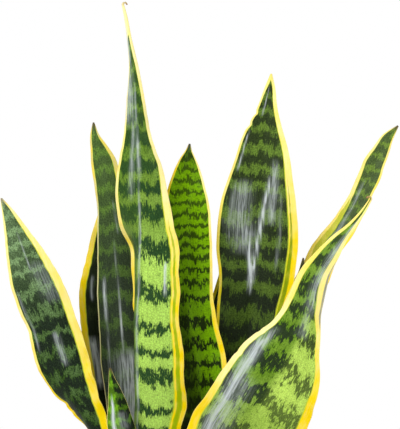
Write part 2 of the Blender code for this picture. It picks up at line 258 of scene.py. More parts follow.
# %% [markdown]
# ## What each leaf wears
# No two leaves are marked alike. Each gets its own list: the heights of its dark bands, the
# width and gold of its yellow margins on the left and right, how bright each half is, and
# where pale highlight strokes are painted on it. How bright each half is mixes the leaf's own
# colour with painted light and shade. The pale strokes are painted highlights and reflections
# on the waxy blade, and each leaf's greens are partly painted shade as well. Heights are
# millimetres above the soil, so they can be read against the stations. What a list leaves out
# is taken from the usual leaf.
# %% Marks of every leaf
FLAT = ((0.0, 0.0, 0.0),)
USUAL = dict(
    lime=(120, 150, 60), deep=(50, 70, 24), dark=(30, 44, 20), pale=(255, 242, 168),
    golden=(254, 220, 2), edge=(200, 212, 50), line=(122, 150, 8), tip=(90, 74, 56),
    painted_highlights=(), vein=FLAT, tuck=FLAT, curl=FLAT, hook=(0.0, 0.0, 1), duty=((0, 0.30, 0.30),),
    ragged=0.8, speckle=0.3, stripe=0.35, grain=0.28, sheen=0.07, dash=(4.0, 7.0), broken=0.25,
    vein_at=0.52)
# Each leaf's lime, deep and dark greens are partly its own colour and partly painted shade: leaves
# that stood in shade get darker greens.
LOOKS = {
    "leaf_far_left": dict(
        bands=(8, 30, 52, 72, 92, 109, 123, 139, 155, 166, 184, 199, 208, 217, 226, 236, 246),
        margins=((90, 2.4, 5.4), (150, 2.4, 5.8), (200, 2.2, 5.4), (235, 1.6, 2.6),
                 (252, 0.3, 0.6)),
        gold=((90, 1.0, 1.0), (130, 0.8, 0.75), (170, 0.35, 0.45), (240, 0.25, 0.3)),
        tone_and_painted_light=((90, 0.0, 0.08), (130, 0.06, 0.12), (160, 0.16, 0.2), (185, 0.4, 0.35),
              (205, 0.65, 0.5), (230, 0.8, 0.7), (250, 0.9, 0.7)),
        bold=((90, 0.9, 0.9), (160, 0.95, 0.95), (190, 0.75, 0.8), (212, 0.5, 0.55),
              (250, 0.4, 0.5)),
        lime=(132, 162, 112), deep=(46, 74, 10), dark=(26, 36, 26), grain=0.65, broken=0.4,
        painted_highlights=((136, 0.18, 158, 0.08, 0.09, 0.5), (202, 0.06, 228, 0.1, 0.03, 0.4),
                 (178, 0.5, 206, 0.35, 0.3, 0.2), (150, -0.7, 190, -0.8, 0.05, 0.3)),
        curl=((84, 1.6, 0.0), (108, 1.6, 0.0), (122, 0.0, 0.0)),
        ragged=1.1, speckle=0.6, dash=(5.0, 5.0), tip=(150, 140, 110)),
    "leaf_behind_left": dict(
        bands=(10, 35, 60, 85, 105, 125, 145, 165, 185, 205, 225, 245),
        margins=((90, 4.5, 4.0), (200, 4.5, 3.5), (235, 3.0, 2.5), (252, 0.6, 0.6)),
        gold=((90, 1.0, 1.0), (180, 1.0, 0.9), (240, 0.7, 0.6)),
        tone_and_painted_light=((90, 0.0, 0.05), (250, 0.2, 0.2)), bold=((90, 0.5, 0.5), (250, 0.5, 0.5)),
        lime=(84, 104, 52), deep=(34, 42, 24), dark=(22, 27, 18),
        painted_highlights=((118, -0.5, 152, -0.62, 0.16, 0.85), (180, -0.5, 196, -0.52, 0.05, 0.5)),
        speckle=0.2, duty=((0, 0.36, 0.36),)),
    "leaf_back_left": dict(
        bands=(10, 34, 58, 80, 102, 120, 137, 156, 177, 194, 212, 227, 241, 255, 269, 281, 293),
        margins=((90, 1.0, 3.4), (235, 1.0, 3.2), (275, 2.0, 3.0), (295, 1.4, 1.6),
                 (306, 0.3, 0.3)),
        gold=((90, 0.0, 0.8), (235, 0.0, 0.5), (255, 0.3, 0.5), (270, 0.5, 0.5), (300, 0.4, 0.4)),
        tone_and_painted_light=((90, 0.05, 0.1), (180, 0.15, 0.3), (210, 0.3, 0.45), (240, 0.7, 0.7),
              (270, 0.95, 0.9), (300, 1.0, 0.9)),
        bold=((90, 0.8, 0.9), (200, 0.7, 0.8), (230, 0.6, 0.6), (260, 0.5, 0.5), (300, 0.4, 0.4)),
        lime=(92, 124, 50), deep=(60, 78, 44), dark=(42, 48, 42), pale=(212, 206, 150),
        painted_highlights=((118, 0.05, 216, -0.05, 0.022, 0.7), (166, -0.62, 196, -0.66, 0.06, 0.75),
                 (100, -0.62, 166, -0.6, 0.05, 0.3), (88, 0.2, 142, 0.25, 0.55, 0.5),
                 (228, 0.2, 250, 0.2, 0.05, 0.3)),
        ragged=0.7, speckle=0.5, grain=0.45),
    "leaf_tall": dict(
        bands=(0, 20, 40, 58, 77, 94, 108, 134, 147, 166, 191, 223, 246, 261.5, 277, 297, 310,
               323, 336, 350, 364),
        margins=((90, 2.6, 8.6), (110, 2.6, 8.2), (150, 2.6, 6.6), (186, 2.8, 5.8),
                 (222, 2.8, 6.4), (245, 2.6, 5.6), (262, 2.4, 4.2), (275, 2.2, 2.8),
                 (300, 1.4, 2.4), (340, 0.6, 2.4), (360, 0.5, 2.2), (370, 2.2, 2.2),
                 (392, 2.2, 2.2)),
        gold=((90, 1.0, 0.95), (160, 1.0, 0.85), (200, 0.7, 0.8), (230, 0.5, 0.6),
              (250, 0.3, 0.12), (290, 0.3, 0.1), (350, 0.0, 0.05)),
        tone_and_painted_light=((90, 0.15, 0.9), (170, 0.15, 0.92), (215, 0.2, 0.95), (223, 0.2, 0.5),
              (240, 0.2, 0.36), (262, 0.22, 0.26), (290, 0.14, 0.18), (350, 0.2, 0.1)),
        bold=((90, 0.8, 1.0), (230, 0.8, 1.0), (262, 0.9, 1.0), (300, 0.8, 0.8), (360, 0.5, 0.6)),
        lime=(172, 211, 92), deep=(64, 98, 14), dark=(40, 70, 34), line=(150, 178, 6),
        painted_highlights=((84, 0.0, 262, 0.0, 0.018, 0.48), (256, -0.3, 330, -0.25, 0.10, 0.45),
                 (270, 0.02, 330, 0.0, 0.07, 0.5), (306, -0.8, 385, -0.8, 0.45, 0.6),
                 (186, 0.66, 208, 0.66, 0.03, 0.8), (286, 0.02, 292, 0.02, 0.08, 0.8)),
        vein=((80, 0.0, 0.27), (112, 0.0, 0.27), (150, 0.0, 0.22), (190, 0.0, 0.22),
              (223, 0.0, 0.17), (242, 0.0, 0.0)),
        curl=((150, 0.0, 0.0), (172, 1.6, 0.0), (190, 2.8, 0.0), (226, 2.8, 0.0), (244, 0.8, 0.0),
              (262, 0.0, 0.0)),
        tuck=((80, 6.0, 0.0), (175, 9.0, 0.0), (216, 10.0, 0.0), (240, 6.0, 0.0), (262, 0.0, 0.0)),
        dash=(7.0, 4.0), broken=0.12, grain=0.35, vein_at=0.6, tip=(150, 110, 70),
        hook=(1.4, 200, 1),
        duty=((90, 0.18, 0.18), (160, 0.2, 0.19), (190, 0.22, 0.22), (225, 0.28, 0.22),
              (250, 0.28, 0.23), (300, 0.3, 0.27))),
    "leaf_centre": dict(
        bands=(5, 25, 45, 64, 80, 95, 110, 125, 138, 150, 168, 184, 194.5, 203, 212, 219.5,
               227, 234, 242, 250, 258, 266, 274, 282),
        margins=((90, 3.0, 3.6), (150, 2.6, 3.4), (200, 2.0, 1.8), (270, 1.6, 1.4),
                 (289, 0.5, 0.5)),
        gold=((90, 1.0, 1.0), (160, 0.9, 0.9), (200, 0.8, 0.5), (285, 0.8, 0.25)),
        tone_and_painted_light=((90, 0.1, 0.3), (130, 0.2, 0.8), (160, 0.4, 1.0), (190, 0.8, 1.0),
              (255, 1.0, 1.0), (272, 0.8, 0.8), (290, 0.0, 0.1)),
        bold=((90, 1.0, 1.0), (160, 1.0, 1.0), (240, 0.8, 0.8), (290, 0.7, 0.7)),
        lime=(116, 166, 2), deep=(36, 52, 8), dark=(30, 44, 8), sheen=0.05, dash=(2.0, 6.0),
        duty=((90, 0.2, 0.18), (190, 0.19, 0.19), (270, 0.19, 0.19), (288, 0.3, 0.3)),
        ragged=1.4, speckle=0.75, broken=0.40, tip=(70, 72, 68)),
    "leaf_broad_right": dict(
        bands=(0, 24, 46, 66, 86, 105, 123, 141, 160, 184, 200, 216, 232, 255, 268, 282, 298,
               310, 321, 331),
        margins=((90, 2.4, 6.4), (180, 2.0, 7.4), (225, 2.0, 6.8), (255, 1.8, 6.2),
                 (280, 1.6, 4.6), (300, 1.4, 3.8), (315, 1.2, 2.8), (325, 1.2, 2.4),
                 (333, 1.8, 1.8), (342, 2.0, 2.0)),
        gold=((90, 1.0, 1.0), (200, 0.9, 1.0), (225, 0.7, 0.85), (255, 0.5, 0.5), (285, 0.4, 0.3),
              (330, 0.4, 0.4)),
        vein=((90, 0.0, 0.24), (200, 0.0, 0.26), (235, 0.0, 0.14), (258, 0.0, 0.10),
              (275, 0.0, 0.0)),
        tone_and_painted_light=((90, 0.1, 0.1), (160, 0.15, 0.2), (190, 0.3, 0.4), (230, 0.45, 0.5),
              (280, 0.7, 0.7), (320, 0.65, 0.6)),
        bold=((90, 0.9, 0.9), (180, 0.95, 0.95), (260, 0.85, 0.85), (320, 0.8, 0.8)),
        lime=(106, 136, 50), deep=(46, 64, 20), dark=(30, 38, 24),
        painted_highlights=((187, -0.15, 232, -0.24, 0.045, 1.0), (190, -0.14, 230, 0.05, 0.035, 1.0),
                 (220, 0.0, 266, 0.27, 0.045, 1.0), (192, -0.15, 206, -0.11, 0.07, 0.8),
                 (216, -0.34, 262, -0.5, 0.22, 0.4), (236, 0.34, 278, 0.46, 0.1, 0.5),
                 (225, -0.3, 238, -0.5, 0.3, 0.35),
                 (272, -0.8, 298, -0.78, 0.028, 0.75), (312, -0.4, 331, -0.2, 0.07, 0.7),
                 (222, -0.7, 262, -0.72, 0.05, 0.3), (205, 0.5, 255, 0.62, 0.03, 0.3)),
        speckle=0.75, duty=((0, 0.27, 0.27),), stripe=0.5, grain=0.5, broken=0.38,
        dash=(5.0, 8.0), vein_at=0.74, tip=(244, 226, 120)),
    "leaf_front_right": dict(
        bands=(0, 22, 45, 70, 96, 121, 142, 163, 180, 195, 212, 226, 238),
        margins=((90, 6.0, 7.0), (106, 5.0, 6.8), (125, 3.9, 6.4), (140, 3.5, 4.8),
                 (150, 3.5, 4.2), (166, 3.6, 4.4), (176, 3.8, 7.6), (190, 3.8, 7.8),
                 (202, 3.4, 6.8), (213, 2.8, 4.4), (232, 1.8, 1.8), (254, 0.5, 0.5)),
        vein=((166, 0.0, 0.0), (177, 0.0, 0.22), (205, 0.0, 0.22), (218, 0.0, 0.0)),
        gold=((88, 1.0, 1.0), (108, 0.85, 1.0), (122, 0.1, 1.0), (150, 0.0, 0.8), (170, 0.1, 0.4),
              (200, 0.5, 0.4), (240, 0.5, 0.3)),
        tone_and_painted_light=((90, 0.45, 0.4), (115, 0.3, 0.65), (125, 0.12, 0.85), (150, 0.08, 0.8),
              (165, 0.1, 0.6), (180, 0.15, 0.3), (200, 0.15, 0.15), (240, 0.1, 0.1)),
        bold=((90, 0.85, 0.7), (125, 1.0, 0.75), (160, 0.95, 0.9), (200, 0.95, 0.9),
              (240, 0.7, 0.7)),
        lime=(190, 222, 98), deep=(84, 124, 14), dark=(36, 50, 28),
        painted_highlights=((78, -0.60, 154, -0.74, 0.11, 0.82), (88, -0.5, 124, -0.55, 0.2, 0.4),
                 (178, 0.2, 238, 0.35, 0.3, 0.55), (160, 0.1, 176, 0.1, 0.2, 0.3)),
        ragged=1.1, speckle=0.5, duty=((90, 0.22, 0.2), (150, 0.25, 0.18), (200, 0.26, 0.26)),
        broken=0.2, stripe=0.4, dash=(5.0, 5.0), vein_at=0.12, line=(132, 138, 130),
        tip=(140, 100, 80), hook=(1.3, 200, -1)),
    "leaf_far_right": dict(
        bands=(5, 28, 50, 70, 90, 110, 128, 146, 164, 180, 194, 208, 220, 232, 243, 253, 262,
               271, 280, 289, 297),
        margins=((90, 5.5, 3.0), (228, 5.6, 2.0), (250, 3.0, 1.6), (290, 1.5, 1.2),
                 (303, 0.5, 0.5)),
        gold=((90, 0.8, 0.8), (220, 0.65, 0.8), (250, 0.35, 0.7), (300, 0.4, 0.4)),
        tone_and_painted_light=((90, 0.2, 0.2), (230, 0.5, 0.5), (300, 0.7, 0.7)),
        bold=((90, 0.7, 0.7), (300, 0.6, 0.6)),
        lime=(120, 150, 58), deep=(66, 88, 34), dark=(48, 60, 46),
        painted_highlights=((215, -0.2, 262, -0.3, 0.12, 0.35),),
        vein=((204, 0.0, 0.0), (214, 0.42, 0.0), (240, 0.42, 0.0), (256, 0.0, 0.0)), vein_at=0.72,
        line=(188, 192, 50), speckle=0.5, grain=0.45, broken=0.35, duty=((0, 0.33, 0.33),)),
    "leaf_young_left": dict(
        bands=(5, 25, 45, 62, 76, 87, 97, 106, 114, 122, 129),
        margins=((60, 0.3, 0.2), (110, 0.3, 0.2), (130, 0.2, 0.2)),
        gold=((60, 0.3, 0.3), (120, 0.3, 0.3)),
        tone_and_painted_light=((85, 1.0, 0.35), (130, 0.8, 0.2)), bold=((85, 0.5, 1.0), (130, 0.5, 1.0)),
        painted_highlights=((76, -0.5, 116, -0.5, 0.13, 0.95), (94, 0.2, 106, 0.2, 0.35, 0.25),
                 (84, 0.1, 92, 0.1, 0.35, 0.2)),
        lime=(112, 166, 24), deep=(40, 66, 20), dark=(22, 34, 14), edge=(112, 158, 24),
        ragged=1.1, speckle=0.4, duty=((0, 0.28, 0.28),)),
    "leaf_behind_centre": dict(
        bands=(10, 40, 70, 100, 130, 155, 180, 205, 230, 252, 270),
        margins=((90, 2.4, 3.0), (230, 2.2, 2.4), (278, 0.5, 0.5)),
        gold=((90, 1.0, 1.0), (280, 1.0, 0.8)),
        tone_and_painted_light=((90, 0.05, 0.05), (280, 0.1, 0.1)), bold=((90, 0.7, 0.7), (280, 0.7, 0.7)),
        speckle=0.2),
    "leaf_young_right": dict(
        bands=(10, 35, 60, 85, 108, 128, 148, 166, 182, 196),
        margins=((90, 1.8, 1.8), (180, 1.0, 1.0), (195, 0.2, 0.2), (210, 0.1, 0.1)),
        gold=((90, 0.9, 0.9), (200, 0.4, 0.4)),
        tone_and_painted_light=((90, 0.15, 0.15), (210, 0.0, 0.0)), bold=((90, 0.7, 0.7), (210, 0.7, 0.7))),
}
BITES = {
    "leaf_far_left": ((-1, 111, 2.2, 2.2), (-1, 104, 1.4, 1.6)),
    "leaf_broad_right": ((-1, 312, 1.2, 1.6), (-1, 303.5, 1.1, 1.8)),
    "leaf_front_right": ((-1, 152, 0.7, 1.6), (-1, 133, 0.6, 1.4), (1, 103, 0.9, 1.8)),
}
LOOKS = {leaf: {**USUAL, **own} for leaf, own in LOOKS.items()}
for leaf, look in LOOKS.items():
    print(leaf, "has", len(look["bands"]), "dark bands and", len(look["painted_highlights"]), "pale streaks")

# %% [markdown]
# ## One leaf, row by row
# Before a leaf gets a skin it needs a row every millimetre or so: where the midrib is, how wide
# the blade is and how it is turned and folded. A dried tip curls over, an old margin has small
# nicks, and the two sides of a leaf differ, so three small helpers read all that off the lists.
# %% Rows, nicks and sides
HOOK_ROWS = 16


def leaf_rows(name):
    """Stations of a leaf in metres and radians, read every ROW_STEP along the spine.

    A dried tip curls over: the last few millimetres are then spent on an arc to one side.
    """
    (share_x, share_y), rows = LEAVES[name]
    rows = np.array(rows, dtype=float)
    rows[:, :4] *= MM
    rows[:, 4:] = np.radians(rows[:, 4:])
    knots = np.append(0.0, np.cumsum(np.linalg.norm(np.diff(rows[:, :3], axis=0), axis=1)))
    count = int(knots[-1] / ROW_STEP) + 1
    along = np.linspace(0.0, 1.0, count)
    radius, sweep, side = LOOKS[name]["hook"]
    curled = radius * MM * np.radians(sweep)
    far = along * (knots[-1] - curled)
    rows = through(knots, rows, far)
    rows[:, :3] += np.array([share_x * SOIL_RADIUS, share_y * SOIL_RADIUS, SOIL_TOP])
    if curled:
        bend = np.radians(np.linspace(0.0, sweep, HOOK_ROWS))[1:, None]
        forward = unit(rows[-1, :3] - rows[-4, :3])
        across = unit(np.array([side, 0.0, 0.0]) - side * forward[0] * forward)
        arc = forward * np.sin(bend) + across * (1.0 - np.cos(bend))
        dried = np.repeat(rows[-1:], len(bend), axis=0)
        dried[:, :3] += arc * radius * MM
        dried[:, 3] *= np.linspace(1.0, 0.5, len(bend))
        rows = np.concatenate([rows, dried])
        far = np.append(far, far[-1] + bend[:, 0] * radius * MM)
    return rows, far, knots[-1]


def bite_depth(name, height, side):
    """Depth of the nicks in a margin: each one a bell curve in height on one side."""
    depth = np.zeros(np.broadcast(height, side).shape)
    for bite_side, place, deep, wide in BITES.get(name, ()):
        bell = np.exp(-(((height - place) / wide) ** 2))
        depth = depth + np.where(side * bite_side > 0, bell * deep, 0.0)
    return depth * MM


def sided(look_rows, height, u):
    """Value between the left and right columns of a table, read at a height."""
    table = np.array(look_rows, dtype=float)
    left = np.interp(height, table[:, 0], table[:, 1])
    right = np.interp(height, table[:, 0], table[:, 2])
    share = 0.5 + 0.5 * np.tanh(u / 0.08)
    return left * (1.0 - share) + right * share


tall_rows, _, tall_length = leaf_rows(TALLEST)
print("tallest leaf:", len(tall_rows), "rows along", round(tall_length / MM), "mm")

# %% [markdown]
# ## The blade as a surface of two parameters
# The first parameter runs along the leaf and the second runs once round its cross-section,
# down the front and back up the reverse, so the skin is closed and has real thickness. Across
# the leaf the blade follows a rounded V, thick at the midrib and thin at the margins. Long
# low waves are added near the margins, because a real margin is never straight.
# %% Leaf surface
MARGIN_WOBBLE, MARGIN_WAVE, FACE_WAVE = 0.00025, 0.0018, 0.0005
SLIMMEST, FULL_WAVES, THIN_MARGIN, BLUNT = 0.0005, 0.012, 0.45, 0.75


def leaf_skin(name, seed):
    """Closed skin of a leaf.

    Round the section, u = cos(angle) runs across and sin(angle) runs through the thickness.
    Sideways = half width * cos(fold) * u. Depth = half width * sin(fold) *
    (sqrt(u^2 + crease^2) - crease), which is a V with a rounded crease.
    """
    rows, far, length = leaf_rows(name)
    along = np.minimum(far / length, 1.0)
    spine, half = rows[:, :3], np.maximum(rows[:, 3], SLIMMEST)[:, None]
    turn, height = rows[:, 4], (spine[:, 2:3] - SOIL_TOP) / MM
    forward = unit(np.gradient(spine, far, axis=0))
    width = np.stack([np.cos(turn), np.sin(turn), np.zeros(len(turn))], axis=1)
    width = unit(width - np.sum(width * forward, axis=1, keepdims=True) * forward)
    depth = np.cross(width, forward)
    angle = np.linspace(0.0, 2.0 * np.pi, COLUMNS, endpoint=False)[None, :]
    u, through_skin = np.cos(angle), np.sin(angle)
    far = far[:, None]
    fold = rows[:, 5][:, None] - np.radians(sided(LOOKS[name]["tuck"], height, u))
    narrow = np.clip(half / FULL_WAVES, 0.0, 1.0)
    side = np.sign(u)
    wobble = ripple(far * 38.0, side * 0.7, seed, waves=5) * MARGIN_WOBBLE * narrow
    reach = half + wobble - bite_depth(name, height, side)
    crease = CREASE_SHARP + (CREASE_ROUND - CREASE_SHARP) * (1.0 - along[:, None]) ** CREASE_POWER
    root = np.sqrt(u**2 + crease**2)
    sideways = reach * np.cos(fold) * u
    inward = reach * np.sin(fold) * (root - crease)
    wave = ripple(far * 24.0, side * 0.9, seed + 1, waves=4, finest=2.2)
    inward = inward + wave * MARGIN_WAVE * np.abs(u) ** 3 * narrow
    wave = ripple(far * 14.0, u * 0.8, seed + 2, waves=5, finest=2.0)
    inward = inward + wave * FACE_WAVE * narrow
    thick = TIP_SHARE + (1.0 - TIP_SHARE) * (1.0 - along[:, None]) ** THINNING
    thick = thick * (1.0 - THIN_MARGIN * np.abs(u) ** 3) * BASE_THICKNESS / 2.0
    skin = thick * np.sign(through_skin) * np.abs(through_skin) ** BLUNT
    skin = np.sign(skin) * np.minimum(np.abs(skin), half * 0.8)
    slope = np.sin(fold) * u / root
    facing = unit(np.cos(fold)[..., None] * depth[:, None] - slope[..., None] * width[:, None])
    curl = sided(LOOKS[name]["curl"], height, u) * MM
    curl = curl * np.clip((np.abs(u) - 0.88) / 0.12, 0.0, 1.0) ** 1.5
    points = spine[:, None] + sideways[..., None] * width[:, None]
    points = points + inward[..., None] * depth[:, None] + (skin + curl)[..., None] * facing
    marks = np.broadcast_arrays(u, far, height, reach)
    return points, dict(zip(("u", "far", "height", "reach"), marks))


trial, trial_marks = leaf_skin(TALLEST, 1)
print("its skin:", trial.shape[0], "rows of", trial.shape[1], "points, half width up to",
      round(float(trial_marks["reach"].max()) / MM, 1), "mm")

# %% [markdown]
# ## From points to a mesh
# A grid of points becomes a mesh by joining neighbours: each row to the next, and the last
# column back to the first because the section is a closed ring. The two ends get one flat face
# each. An attribute carries one number for every point, which a material can read later.
# %% Faces, meshes and marks
def skin_faces(rows, columns):
    """Quads between neighbouring rows, wrapped round the section, and the two end caps."""
    first = np.arange(rows - 1)[:, None] * columns
    here = np.arange(columns)[None, :]
    after = (here + 1) % columns
    quads = np.stack([first + here, first + here + columns, first + after + columns,
                      first + after], axis=-1).reshape(-1, 4)
    ends = [list(range(columns)), list(range(rows * columns - 1, (rows - 1) * columns - 1, -1))]
    return quads.tolist() + ends


def make_mesh(name, points, faces, smooth=True):
    """New object at the origin with its place in its mesh."""
    mesh = bpy.data.meshes.new(name)
    mesh.from_pydata(np.asarray(points, dtype=float).reshape(-1, 3).tolist(), [], faces)
    mesh.polygons.foreach_set("use_smooth", np.full(len(mesh.polygons), smooth))
    mesh.update()
    piece = bpy.data.objects.new(name, mesh)
    bpy.context.scene.collection.objects.link(piece)
    return piece


def give(piece, name, values):
    """Store one number per point for the materials to read."""
    data = piece.data.attributes.new(name, "FLOAT", "POINT")
    data.data.foreach_set("value", np.ascontiguousarray(values, dtype=np.float32).reshape(-1))


print("faces of the tallest leaf:", len(skin_faces(*trial.shape[:2])))

# %% [markdown]
# ## Marks that follow the leaf
# A pattern fixed in space would cut straight through a curved leaf. So each point of a leaf
# stores where it is on its own leaf: how far from the margin, how many dark bands up from the
# root, how bright its half is with its own colour and painted light and shade, how golden its
# margin, and how much painted highlight lies on it. The material only has to read these
# numbers and roughen them with fine noise.
# %% Store the marks on a leaf
# The brightness mark of each half holds painted light and shade as well as the leaf's own colour.
SIDED_MARKS = ("tone_and_painted_light", "bold", "duty", "gold", "vein")
NEEDLE_LENGTH = 0.006
BAND_SAG, BEYOND_STEP = 0.22, 12.0


def painted_highlight_amount(painted_highlights, height, u):
    """Painted highlights: the strongest of soft slanted strokes, a bell across each, faded at both
    ends.
    """
    total = np.zeros(u.shape)
    for low, u_low, high, u_high, wide, strength in painted_highlights:
        share = np.clip((height - low) / (high - low), 0.0, 1.0)
        middle = u_low + (u_high - u_low) * share
        bell = np.exp(-(((u - middle) / wide) ** 2))
        run = (high - low) * 0.18
        rise = np.clip((height - low) / run + 0.5, 0, 1)
        fall = np.clip((high - height) / run + 0.5, 0, 1)
        total = np.maximum(total, bell * rise * fall * strength)
    return total


def mark_leaf(piece, name, marks):
    """Write every mark of a leaf: from its own list, from the rim and from the tip."""
    look, u, height = LOOKS[name], marks["u"], marks["height"]
    rim = marks["reach"] * (1.0 - np.abs(u))
    margin = np.maximum(sided(look["margins"], height, u), 0.1) * MM
    bands = np.interp(height, look["bands"], np.arange(len(look["bands"])))
    beyond = np.maximum(height - look["bands"][-1], 0.0) / BEYOND_STEP
    sag = BAND_SAG * np.sin(np.pi * np.clip(np.abs(u), 0.0, 1.0))
    give(piece, "rim", rim / margin)
    give(piece, "bands", bands + beyond + sag)
    for mark in SIDED_MARKS:
        give(piece, mark, sided(look[mark], height, u))
    # Painted highlights and reflections, stored as pale strokes on the leaf.
    give(piece, "painted_sheen", painted_highlight_amount(look["painted_highlights"], height, u))
    tip = marks["far"].max() - marks["far"]
    give(piece, "needle", np.clip(1.0 - tip / NEEDLE_LENGTH, 0.0, 1.0))
    give(piece, "across", u * marks["reach"] * 100.0)
    give(piece, "upward", marks["far"] * 100.0)


print("marks that differ left and right:", ", ".join(SIDED_MARKS))

# %% [markdown]
# ## Helpers for materials
# A material is a small graph. A few helpers keep its recipe readable: one adds a node, one
# does a sum, one mixes two colours, one makes a soft step and one reads noise. Colours are
# written as the everyday 0 to 255 values and turned into the linear light that is rendered.
# %% Material helpers
def colour(red, green, blue):
    """Linear colour from 0 to 255 values: ((v + 0.055) / 1.055) ^ 2.4 above the toe."""
    values = np.array([red, green, blue]) / 255.0
    linear = np.where(values > 0.04045, ((values + 0.055) / 1.055) ** 2.4, values / 12.92)
    return (*linear.tolist(), 1.0)


def add(tree, kind, settings=None, values=None):
    """One node; settings are its options, values its inputs, and a socket value is linked."""
    made = tree.nodes.new("ShaderNode" + kind)
    for key, value in (settings or {}).items():
        setattr(made, key, value)
    for key, value in (values or {}).items():
        if isinstance(value, bpy.types.NodeSocket):
            tree.links.new(value, made.inputs[key])
        else:
            made.inputs[key].default_value = value
    return made


def calc(tree, operation, first, second=0.0, third=0.0, clamp=False):
    """One Math node."""
    settings = {"operation": operation, "use_clamp": clamp}
    return add(tree, "Math", settings, {0: first, 1: second, 2: third}).outputs[0]


def mix(tree, share, first, second, kind="MIX"):
    """Mix two colours by a share."""
    settings = {"data_type": "RGBA", "blend_type": kind}
    return add(tree, "Mix", settings, {0: share, 6: first, 7: second}).outputs[2]


def step(tree, value, low, high, start=0.0, end=1.0):
    """Smooth step: start below low, end above high, an S curve between."""
    settings = {"interpolation_type": "SMOOTHSTEP"}
    return add(tree, "MapRange", settings, {0: value, 1: low, 2: high, 3: start, 4: end}).outputs[0]


def noise(tree, vector, scale=1.0, detail=2.0, rough=0.5):
    """Noise between 0 and 1 read at a vector."""
    values = {"Vector": vector, "Scale": scale, "Detail": detail, "Roughness": rough}
    return add(tree, "TexNoise", None, values).outputs["Fac"]


def number(tree, name):
    """A mark stored on the points."""
    return add(tree, "Attribute", {"attribute_name": name}).outputs["Fac"]


def new_material(name):
    """Empty Principled material: its tree and its shader."""
    material = bpy.data.materials.new(name)
    material.use_nodes = True
    return material, material.node_tree, material.node_tree.nodes["Principled BSDF"]


def wear(piece, material):
    """Give a piece its only material."""
    piece.data.materials.clear()
    piece.data.materials.append(material)


print("lime in linear light:", [round(v, 3) for v in colour(160, 205, 85)])

# %% [markdown]
# ## Noise that follows the fibres
# Everything in a leaf's pattern is drawn out along its fibres, so the noises read a place
# measured across and along the leaf in centimetres, not a place in the room. Each noise is
# stretched its own way: the zigzag is broad, the fray a dozen times finer across than along.
# %% Noises of a leaf
NOISES = dict(
    zigzag=(2.6, 1.2, 0.0, 1.5, 0.5), fray=(13.0, 2.4, 3.0, 3.0, 0.65),
    grain=(10.0, 9.0, 9.0, 2.0, 0.6), fibre=(9.0, 0.5, 7.0, 4.0, 0.65),
    patch=(1.4, 0.9, 11.0, 2.0, 0.5), ribs=(9.0, 0.25, 2.0, 2.0, 0.5))


def swing(tree, wave, amount, base, clamp=False):
    """Base plus a noise's swing either side of its middle, times an amount."""
    from_middle = calc(tree, "SUBTRACT", wave, 0.5)
    return calc(tree, "MULTIPLY_ADD", from_middle, amount, base, clamp)


def emboss(tree, shader, height, strength, distance):
    """Small relief on a shader from a height."""
    values = {"Strength": strength, "Distance": distance, "Height": height}
    tree.links.new(add(tree, "Bump", None, values).outputs[0], shader.inputs["Normal"])


def leaf_noises(tree, look, seed):
    """Noises by name: strokes per centimetre across and along, layer, detail, roughness."""
    values = {0: number(tree, "across"), 1: number(tree, "upward"), 2: float(seed)}
    place = add(tree, "CombineXYZ", None, values).outputs[0]
    recipes = {**NOISES, "fleck": (*look["dash"], 5.0, 2.0, 0.6)}
    made = {}
    for name, (over, along, layer, detail, rough) in recipes.items():
        values = {"Vector": place, "Scale": (over, along, 1.0), "Location": (0.0, 0.0, layer)}
        stretched = add(tree, "Mapping", None, values).outputs[0]
        made[name] = noise(tree, stretched, 1.0, detail, rough)
    return made


print("strokes per centimetre across:", {name: recipe[0] for name, recipe in NOISES.items()})

# %% [markdown]
# ## The banded green
# Up close, a dark band is not a clean stripe: it is built of countless short strokes that
# run along the fibres, so its edges are feathered like torn paper. The band number stored on
# the leaf is pushed up and down by the zigzag and the fray, and a saw wave of it says how
# close a point is to the middle of a band. Flecks, fibres and grain break up both greens.
# %% Banded green
def banded_green(tree, look, noises):
    """Deep to lime by own colour and painted light and shade, dark where the saw is in a band."""
    patch = noises["patch"]
    bands = swing(tree, noises["zigzag"], look["ragged"], number(tree, "bands"))
    bands = swing(tree, noises["fray"], 1.1, bands)
    saw = calc(tree, "SUBTRACT", calc(tree, "FRACT", calc(tree, "ADD", bands, 0.5)), 0.5)
    saw = swing(tree, patch, look["broken"], calc(tree, "ABSOLUTE", saw))
    light = step(tree, calc(tree, "SUBTRACT", saw, number(tree, "duty")), -0.06, 0.06)
    flecks = calc(tree, "MULTIPLY", step(tree, noises["fleck"], 0.60, 0.68), look["speckle"])
    light = calc(tree, "MULTIPLY", light, calc(tree, "SUBTRACT", 1.0, flecks), clamp=True)

    # Brightness of each half: partly the leaf's own colour, partly painted light and shade.
    tone_and_painted_light = swing(tree, patch, 0.3, number(tree, "tone_and_painted_light"), clamp=True)
    tone_and_painted_light = calc(tree, "ADD", tone_and_painted_light, step(tree, saw, 0.15, 0.5, -0.10, 0.06), clamp=True)
    ground = mix(tree, tone_and_painted_light, colour(*look["deep"]), colour(*look["lime"]))
    band_green = mix(tree, number(tree, "bold"), ground, colour(*look["dark"]))
    green = mix(tree, light, band_green, ground)
    lines = swing(tree, noises["fibre"], look["stripe"] * 2.0, 1.0)
    pepper = step(tree, noises["grain"], 0.42, 0.58, -0.5, 0.5)
    lines = calc(tree, "MULTIPLY_ADD", pepper, look["grain"], lines)
    grey = add(tree, "CombineColor", None, {0: lines, 1: lines, 2: lines}).outputs[0]
    return mix(tree, 1.0, green, grey, "MULTIPLY")


print("usual greens:", USUAL["lime"], USUAL["deep"], USUAL["dark"])

# %% [markdown]
# ## The yellow margin
# The margin is yellow because its cells make no chlorophyll. It runs from cream to gold, often
# with a thin green line inside it, and it meets the green in a narrow lime edge. The stored
# rim number is 0 at the very edge and 1 where the yellow stops, so steps of it lay the colours.
# %% Yellow margin
EDGE_CREAM = (250, 228, 164)


